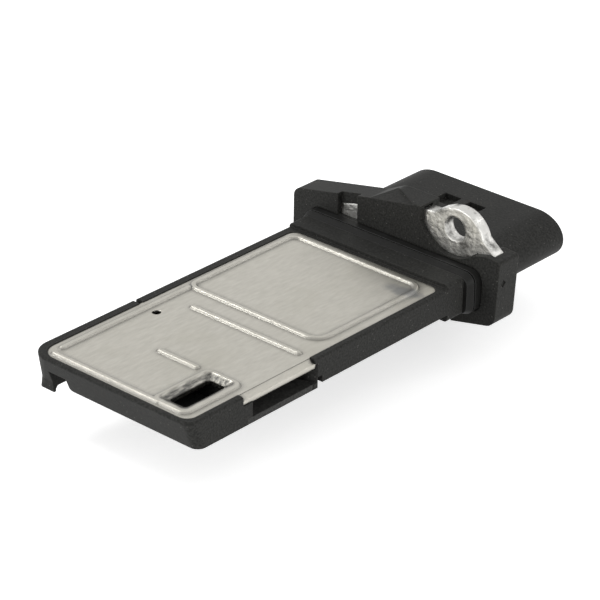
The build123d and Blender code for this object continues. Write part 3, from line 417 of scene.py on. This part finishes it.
# painted highlight along the seal's edges, found from the bevelled normal
edge_highlight = add_node(
    rubber, "MapRange", values={"From Min": 0.99, "From Max": 0.85, "To Min": 0.0, "To Max": 0.6},
    links={"Value": turn.outputs["Value"]},
)
edged = add_node(
    rubber, "Mix", {"data_type": "RGBA"}, {"B": linear(RUBBER_HIGHLIGHT)},
    {"Factor": edge_highlight.outputs[0], "A": tone.outputs["Result"]},
)
link(edged.outputs["Result"], shader.inputs["Base Color"])
gloss = add_node(
    rubber, "MapRange", values={"From Min": 0.3, "From Max": 0.7, "To Min": 0.38, "To Max": 0.55},
    links={"Value": bloom.outputs["Fac"]},
)
link(gloss.outputs[0], shader.inputs["Roughness"])
skin = add_node(
    rubber, "Bump", values={"Strength": 0.2, "Distance": RUBBER_TEXTURE_DEPTH_MM / 1000},
    links={"Height": texture.outputs["Fac"], "Normal": rounded.outputs[0]},
)
link(skin.outputs[0], shader.inputs["Normal"])
dress(rubber, "seal_ring")

# Sealing beads: grey-black silicone laid round the circuit chamber, one under the base plate and
# one over the lower cover. Cured silicone is satin, with a slightly uneven skin from the needle.
SILICONE_BASE = "4E5052"
SILICONE_SKIN = "5C5E60"
SILICONE_RIPPLE_MM = 1.2
SILICONE_RIPPLE_DEPTH_MM = 0.05
SILICONE_GLOW_MM = 1.0
silicone, shader, place = start_material(
    "cured grey silicone", IOR=1.41, Roughness=0.38, Subsurface_Weight=0.05,
    Subsurface_Radius=[SILICONE_GLOW_MM / 1000] * 3,
)
link = silicone.node_tree.links.new
ripple = add_node(
    silicone, "TexNoise", values={"Scale": 1000 / SILICONE_RIPPLE_MM, "Detail": 2.0},
    links={"Vector": place},
)
tone = add_node(
    silicone, "Mix", {"data_type": "RGBA"},
    {"A": linear(SILICONE_BASE), "B": linear(SILICONE_SKIN)},
    {"Factor": ripple.outputs["Fac"]},
)
link(tone.outputs["Result"], shader.inputs["Base Color"])
skin = add_node(
    silicone, "Bump", values={"Strength": 0.4, "Distance": SILICONE_RIPPLE_DEPTH_MM / 1000},
    links={"Height": ripple.outputs["Fac"]},
)
link(skin.outputs[0], shader.inputs["Normal"])
dress(silicone, "plate_sealant", "cover_sealant")

# Terminals and leads: brass blades and copper wire, tinned. The dipped tin is bright and a
# little wavy, with faint drawn lines along the blade.
TIN_BASE = "C9C6BE"
TIN_DULL = "A8A59C"
TIN_LINE_MM = 0.3
TIN_LINE_DEPTH_MM = 0.01
tin, shader, place = start_material("tinned brass", Metallic=1.0)
link = tin.node_tree.links.new
along = add_node(tin, "Mapping", values={"Scale": (1.0, 0.05, 1.0)}, links={"Vector": place})
lines = add_node(
    tin, "TexNoise", values={"Scale": 1000 / TIN_LINE_MM, "Detail": 3.0},
    links={"Vector": along.outputs[0]},
)
tone = add_node(
    tin, "Mix", {"data_type": "RGBA"}, {"A": linear(TIN_BASE), "B": linear(TIN_DULL)},
    {"Factor": lines.outputs["Fac"]},
)
link(tone.outputs["Result"], shader.inputs["Base Color"])
gloss = add_node(
    tin, "MapRange", values={"From Min": 0.3, "From Max": 0.7, "To Min": 0.22, "To Max": 0.38},
    links={"Value": lines.outputs["Fac"]},
)
link(gloss.outputs[0], shader.inputs["Roughness"])
drawn = add_node(
    tin, "Bump", values={"Strength": 0.3, "Distance": TIN_LINE_DEPTH_MM / 1000},
    links={"Height": lines.outputs["Fac"]},
)
link(drawn.outputs[0], shader.inputs["Normal"])
dress(tin, "terminal_1", "terminal_2", "terminal_3", "terminal_4", "terminal_5")
dress(tin, "thermistor_lead_1", "thermistor_lead_2")

# Bond wires: soft aluminium wire, drawn and welded on by ultrasound. It is bright and plain,
# with the faint lines of the drawing die.
WIRE_BASE = "D6D5D2"
WIRE_LINE = "B9B8B5"
WIRE_LINE_MM = 0.12
WIRE_LINE_DEPTH_MM = 0.01
wire, shader, place = start_material("drawn aluminium wire", Metallic=1.0, Roughness=0.3)
link = wire.node_tree.links.new
lines = add_node(
    wire, "TexNoise", values={"Scale": 1000 / WIRE_LINE_MM, "Detail": 2.0},
    links={"Vector": place},
)
tone = add_node(
    wire, "Mix", {"data_type": "RGBA"}, {"A": linear(WIRE_BASE), "B": linear(WIRE_LINE)},
    {"Factor": lines.outputs["Fac"]},
)
link(tone.outputs["Result"], shader.inputs["Base Color"])
drawn = add_node(
    wire, "Bump", values={"Strength": 0.2, "Distance": WIRE_LINE_DEPTH_MM / 1000},
    links={"Height": lines.outputs["Fac"]},
)
link(drawn.outputs[0], shader.inputs["Normal"])
dress(wire, "bond_wires")

# Circuit board: fired alumina ceramic with printed silver-palladium tracks under a pale glaze.
# Ceramic is off-white and faintly speckled; the tracks show as a grid of darker, glossier lines.
CERAMIC_BASE = "E4E1D6"
CERAMIC_SPECK = "CFCBBD"
TRACK_COLOUR = "8F8E86"
CERAMIC_SPECK_MM = 0.25
TRACK_PITCH_MM = 1.6
TRACK_SHARE = 0.22
TRACK_HEIGHT_MM = 0.03
ceramic, shader, place = start_material("printed alumina ceramic", IOR=1.7)
link = ceramic.node_tree.links.new
specks = add_node(
    ceramic, "TexNoise", values={"Scale": 1000 / CERAMIC_SPECK_MM, "Detail": 2.0},
    links={"Vector": place},
)
tone = add_node(
    ceramic, "Mix", {"data_type": "RGBA"}, {"A": linear(CERAMIC_BASE), "B": linear(CERAMIC_SPECK)},
    {"Factor": specks.outputs["Fac"]},
)
tracks = add_node(
    ceramic, "TexBrick", {"offset": 0.5, "squash": 1.0},
    {
        "Color1": (0, 0, 0, 1), "Color2": (0, 0, 0, 1), "Mortar": (1, 1, 1, 1),
        "Scale": 1000 / TRACK_PITCH_MM / 2, "Mortar Size": TRACK_SHARE / 5,
        "Brick Width": 1.5, "Row Height": 0.5,
    },
    {"Vector": place},
)
printed = add_node(
    ceramic, "Mix", {"data_type": "RGBA"}, {"B": linear(TRACK_COLOUR)},
    {"Factor": tracks.outputs["Color"], "A": tone.outputs["Result"]},
)
link(printed.outputs["Result"], shader.inputs["Base Color"])
gloss = add_node(
    ceramic, "MapRange", values={"To Min": 0.55, "To Max": 0.3},
    links={"Value": tracks.outputs["Color"]},
)
link(gloss.outputs[0], shader.inputs["Roughness"])
raised = add_node(
    ceramic, "Bump", values={"Strength": 0.5, "Distance": TRACK_HEIGHT_MM / 1000},
    links={"Height": tracks.outputs["Color"]},
)
link(raised.outputs[0], shader.inputs["Normal"])
dress(ceramic, "circuit_board")

# Board adhesive: pale grey silicone filled with alumina powder, rolled on and cured. The powder
# makes it dull and grainy.
GLUE_BASE = "A7A8A6"
GLUE_GRAIN = "8E908E"
GLUE_GRAIN_MM = 0.3
GLUE_GRAIN_DEPTH_MM = 0.03
glue, shader, place = start_material("filled heat-conducting glue", IOR=1.45, Roughness=0.75)
link = glue.node_tree.links.new
powder = add_node(
    glue, "TexNoise", values={"Scale": 1000 / GLUE_GRAIN_MM, "Detail": 3.0},
    links={"Vector": place},
)
tone = add_node(
    glue, "Mix", {"data_type": "RGBA"}, {"A": linear(GLUE_BASE), "B": linear(GLUE_GRAIN)},
    {"Factor": powder.outputs["Fac"]},
)
link(tone.outputs["Result"], shader.inputs["Base Color"])
grit = add_node(
    glue, "Bump", values={"Strength": 0.5, "Distance": GLUE_GRAIN_DEPTH_MM / 1000},
    links={"Height": powder.outputs["Fac"]},
)
link(grit.outputs[0], shader.inputs["Normal"])
dress(glue, "board_adhesive")

# Moulded chips: epoxy filled with silica, black and slightly rough from the mould, with small
# pale grains of filler.
EPOXY_BASE = "2E2D2F"
EPOXY_FILLER = "4A494A"
EPOXY_GRAIN_MM = 0.15
EPOXY_GRAIN_DEPTH_MM = 0.02
epoxy, shader, place = start_material("silica-filled black epoxy", IOR=1.55, Roughness=0.55)
link = epoxy.node_tree.links.new
filler = add_node(
    epoxy, "TexNoise", values={"Scale": 1000 / EPOXY_GRAIN_MM, "Detail": 3.0},
    links={"Vector": place},
)
grains = add_node(
    epoxy, "MapRange", values={"From Min": 0.55, "From Max": 0.75},
    links={"Value": filler.outputs["Fac"]},
)
tone = add_node(
    epoxy, "Mix", {"data_type": "RGBA"}, {"A": linear(EPOXY_BASE), "B": linear(EPOXY_FILLER)},
    {"Factor": grains.outputs[0]},
)
link(tone.outputs["Result"], shader.inputs["Base Color"])
skin = add_node(
    epoxy, "Bump", values={"Strength": 0.4, "Distance": EPOXY_GRAIN_DEPTH_MM / 1000},
    links={"Height": filler.outputs["Fac"]},
)
link(skin.outputs[0], shader.inputs["Normal"])
dress(epoxy, "control_ic", "regulator_ic", "chip_encapsulant")

# Chip capacitors and resistors: ceramic blocks, tan barium titanate for the capacitors and a dark
# glazed film for the resistors. Fired ceramic shows a fine, slightly mottled grain.
CAPACITOR_BASE = "A98F6C"
CAPACITOR_GRAIN = "8F7757"
RESISTOR_BASE = "2B2C30"
RESISTOR_GRAIN = "41434A"
CHIP_GRAIN_MM = 0.12
CHIP_GRAIN_DEPTH_MM = 0.01
for name, base, grain_colour, roughness in (
    ("chip_capacitors", CAPACITOR_BASE, CAPACITOR_GRAIN, 0.5),
    ("chip_resistors", RESISTOR_BASE, RESISTOR_GRAIN, 0.25),
):
    title = "fired " + name.replace("_", " ")
    fired, shader, place = start_material(title, IOR=1.6, Roughness=roughness)
    link = fired.node_tree.links.new
    grain = add_node(
        fired, "TexNoise", values={"Scale": 1000 / CHIP_GRAIN_MM, "Detail": 2.0},
        links={"Vector": place},
    )
    tone = add_node(
        fired, "Mix", {"data_type": "RGBA"}, {"A": linear(base), "B": linear(grain_colour)},
        {"Factor": grain.outputs["Fac"]},
    )
    link(tone.outputs["Result"], shader.inputs["Base Color"])
    skin = add_node(
        fired, "Bump", values={"Strength": 0.3, "Distance": CHIP_GRAIN_DEPTH_MM / 1000},
        links={"Height": grain.outputs["Fac"]},
    )
    link(skin.outputs[0], shader.inputs["Normal"])
    dress(fired, name)

# Sensor carrier: a stiff tongue moulded in grey-green glass-filled epoxy. The glass fibres lie
# along the tongue and show as faint pale streaks.
TONGUE_BASE = "5B6058"
TONGUE_FIBRE = "747A70"
TONGUE_FIBRE_MM = 0.3
TONGUE_FIBRE_DEPTH_MM = 0.02
tongue, shader, place = start_material("glass-filled epoxy tongue", IOR=1.55, Roughness=0.5)
link = tongue.node_tree.links.new
along = add_node(tongue, "Mapping", values={"Scale": (1.0, 0.12, 1.0)}, links={"Vector": place})
fibres = add_node(
    tongue, "TexNoise", values={"Scale": 1000 / TONGUE_FIBRE_MM, "Detail": 3.0},
    links={"Vector": along.outputs[0]},
)
tone = add_node(
    tongue, "Mix", {"data_type": "RGBA"}, {"A": linear(TONGUE_BASE), "B": linear(TONGUE_FIBRE)},
    {"Factor": fibres.outputs["Fac"]},
)
link(tone.outputs["Result"], shader.inputs["Base Color"])
skin = add_node(
    tongue, "Bump", values={"Strength": 0.3, "Distance": TONGUE_FIBRE_DEPTH_MM / 1000},
    links={"Height": fibres.outputs["Fac"]},
)
link(skin.outputs[0], shader.inputs["Normal"])
dress(tongue, "sensor_carrier")

# Sensor chip: polished silicon with a thin membrane in its middle. Silicon is a dark, blue-grey
# mirror, and the membrane's oxide and nitride layers tint it violet.
SILICON_BASE = "55585F"
MEMBRANE_TINT = "6A5A86"
MEMBRANE_MM = 1.0
chip, shader, place = start_material("polished silicon", Metallic=0.8, Roughness=0.08)
link = chip.node_tree.links.new
low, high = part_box("sensor_chip")
middle = [(a + b) / 2 for a, b in zip(low, high)]
from_middle = add_node(
    chip, "VectorMath", {"operation": "SUBTRACT"}, {1: middle}, {0: place},
)
size_up = add_node(
    chip, "VectorMath", {"operation": "ABSOLUTE"}, links={0: from_middle.outputs[0]},
)
apart = add_node(chip, "SeparateXYZ", links={0: size_up.outputs[0]})
farthest = add_node(
    chip, "Math", {"operation": "MAXIMUM"},
    links={0: apart.outputs["X"], 1: apart.outputs["Y"]},
)
window = add_node(
    chip, "MapRange",
    values={"From Min": MEMBRANE_MM / 1900, "From Max": MEMBRANE_MM / 2100},
    links={"Value": farthest.outputs[0]},
)
tone = add_node(
    chip, "Mix", {"data_type": "RGBA"}, {"A": linear(SILICON_BASE), "B": linear(MEMBRANE_TINT)},
    {"Factor": window.outputs[0]},
)
link(tone.outputs["Result"], shader.inputs["Base Color"])
dress(chip, "sensor_chip")

# Thermistor: a ceramic bead sealed in glass. The glass is smooth and brownish, with darker
# ceramic showing through in places.
BEAD_GLASS = "7A4F2E"
BEAD_DARK = "3C2A20"
BEAD_CLOUD_MM = 0.8
bead, shader, place = start_material(
    "glass-sealed ceramic bead", IOR=1.52, Roughness=0.08, Coat_Weight=0.5,
)
link = bead.node_tree.links.new
clouds = add_node(
    bead, "TexNoise", values={"Scale": 1000 / BEAD_CLOUD_MM, "Detail": 3.0},
    links={"Vector": place},
)
tone = add_node(
    bead, "Mix", {"data_type": "RGBA"}, {"A": linear(BEAD_GLASS), "B": linear(BEAD_DARK)},
    {"Factor": clouds.outputs["Fac"]},
)
link(tone.outputs["Result"], shader.inputs["Base Color"])
dress(bead, "thermistor")

# Floor: a plain white sweep of matt board under the sensor, which rests on its lower screw eye.
# It is seen as white, and keeps the sensor's soft shadow.
FLOOR_GAP_MM = 0.1
FLOOR_HALF = 6.0              # metres from the sensor to each edge
FLOOR_TONE = (0.9, 0.9, 0.9, 1)
FLOOR_SEEN_LIFT = 0.60        # brings it up to the white room behind it
floor_height = cad_box[0][2] - FLOOR_GAP_MM / 1000
mesh = bpy.data.meshes.new("floor")
shape = bmesh.new()
bmesh.ops.create_grid(shape, x_segments=1, y_segments=1, size=FLOOR_HALF)
bmesh.ops.translate(shape, verts=shape.verts, vec=(0, 0, floor_height))
shape.to_mesh(mesh)
shape.free()
floor = bpy.data.objects.new("floor", mesh)
bpy.context.scene.collection.objects.link(floor)
board, shader, _ = start_material("white matt board", Roughness=0.9, Specular_IOR_Level=0.2)
shader.inputs["Base Color"].default_value = FLOOR_TONE
link = board.node_tree.links.new
rays = add_node(board, "LightPath")
seen = add_node(
    board, "Math", {"operation": "MAXIMUM"},
    links={0: rays.outputs["Is Camera Ray"], 1: rays.outputs["Is Glossy Ray"]},
)
lift = add_node(
    board, "Math", {"operation": "MULTIPLY"}, {1: FLOOR_SEEN_LIFT}, {0: seen.outputs[0]},
)
shader.inputs["Emission Color"].default_value = (1, 1, 1, 1)
link(lift.outputs[0], shader.inputs["Emission Strength"])
mesh.materials.append(board)

# Studio light: an even white room, seen at full strength by the camera and in the metal, and
# four soft boxes: a small one high on the left, a smaller one high at the rear, and larger low
# ones on the right and in front.
ROOM_LIGHT = 0.55
LAMP_AIM = (0, -0.02, 0)
LAMPS = (                     # place and width in metres, power in watts
    ("key soft box", (-0.62, -0.22, 0.76), 0.26, 2.8),
    ("rear soft box", (0.36, 0.67, 0.65), 0.12, 0.25),
    ("right soft box", (0.85, 0.10, 0.22), 0.45, 2.8),
    ("front soft box", (-0.25, -0.88, 0.20), 0.45, 2.4),
)
world = bpy.data.worlds.new("white room")
bpy.context.scene.world = world
world.use_nodes = True
nodes = world.node_tree.nodes
link = world.node_tree.links.new
sky = nodes["Background"]
sky.inputs["Color"].default_value = (1, 1, 1, 1)
rays = nodes.new("ShaderNodeLightPath")
mirrored = nodes.new("ShaderNodeMath")
mirrored.operation = "MAXIMUM"
link(rays.outputs["Is Glossy Ray"], mirrored.inputs[0])
link(rays.outputs["Is Transmission Ray"], mirrored.inputs[1])
seen = nodes.new("ShaderNodeMath")
seen.operation = "MAXIMUM"
link(rays.outputs["Is Camera Ray"], seen.inputs[0])
link(mirrored.outputs[0], seen.inputs[1])
level = nodes.new("ShaderNodeMix")
level.inputs["A"].default_value = ROOM_LIGHT
level.inputs["B"].default_value = 1.0
link(seen.outputs[0], level.inputs["Factor"])
link(level.outputs["Result"], sky.inputs["Strength"])
for name, place, size, power in LAMPS:
    lamp = bpy.data.lights.new(name, "AREA")
    lamp.size = size
    lamp.energy = power
    stand = bpy.data.objects.new(name, lamp)
    stand.location = place
    aim = Vector(LAMP_AIM) - Vector(place)
    stand.rotation_euler = aim.to_track_quat("-Z", "Y").to_euler()
    bpy.context.scene.collection.objects.link(stand)

# Camera: a long lens about half a metre away, looking down on the blade from the front right
# and rolled by one degree.
CAMERA_SENSOR_MM = 36
CAMERA_LENS_MM = 169.32
CAMERA_PLACE = (0.2708, -0.3328, 0.2124)
CAMERA_TURN = math.radians(41.24)
CAMERA_RISE = math.radians(27.27)
CAMERA_ROLL = math.radians(1.01)
lens = bpy.data.cameras.new("camera")
lens.sensor_width = CAMERA_SENSOR_MM
lens.lens = CAMERA_LENS_MM
lens.clip_start = 0.05
lens.clip_end = 10
camera = bpy.data.objects.new("camera", lens)
bpy.context.scene.collection.objects.link(camera)
bpy.context.scene.camera = camera
back = Vector((
    math.sin(CAMERA_TURN) * math.cos(CAMERA_RISE),
    -math.cos(CAMERA_TURN) * math.cos(CAMERA_RISE),
    math.sin(CAMERA_RISE),
))
right = Vector((math.cos(CAMERA_TURN), math.sin(CAMERA_TURN), 0))
up = back.cross(right)
rolled_right = right * math.cos(CAMERA_ROLL) + up * math.sin(CAMERA_ROLL)
rolled_up = up * math.cos(CAMERA_ROLL) - right * math.sin(CAMERA_ROLL)
placed = Matrix((rolled_right, rolled_up, back)).transposed().to_4x4()
placed.translation = Vector(CAMERA_PLACE)
camera.matrix_world = placed

# Colour management: plain sRGB view.
bpy.context.scene.view_settings.view_transform = "Standard"
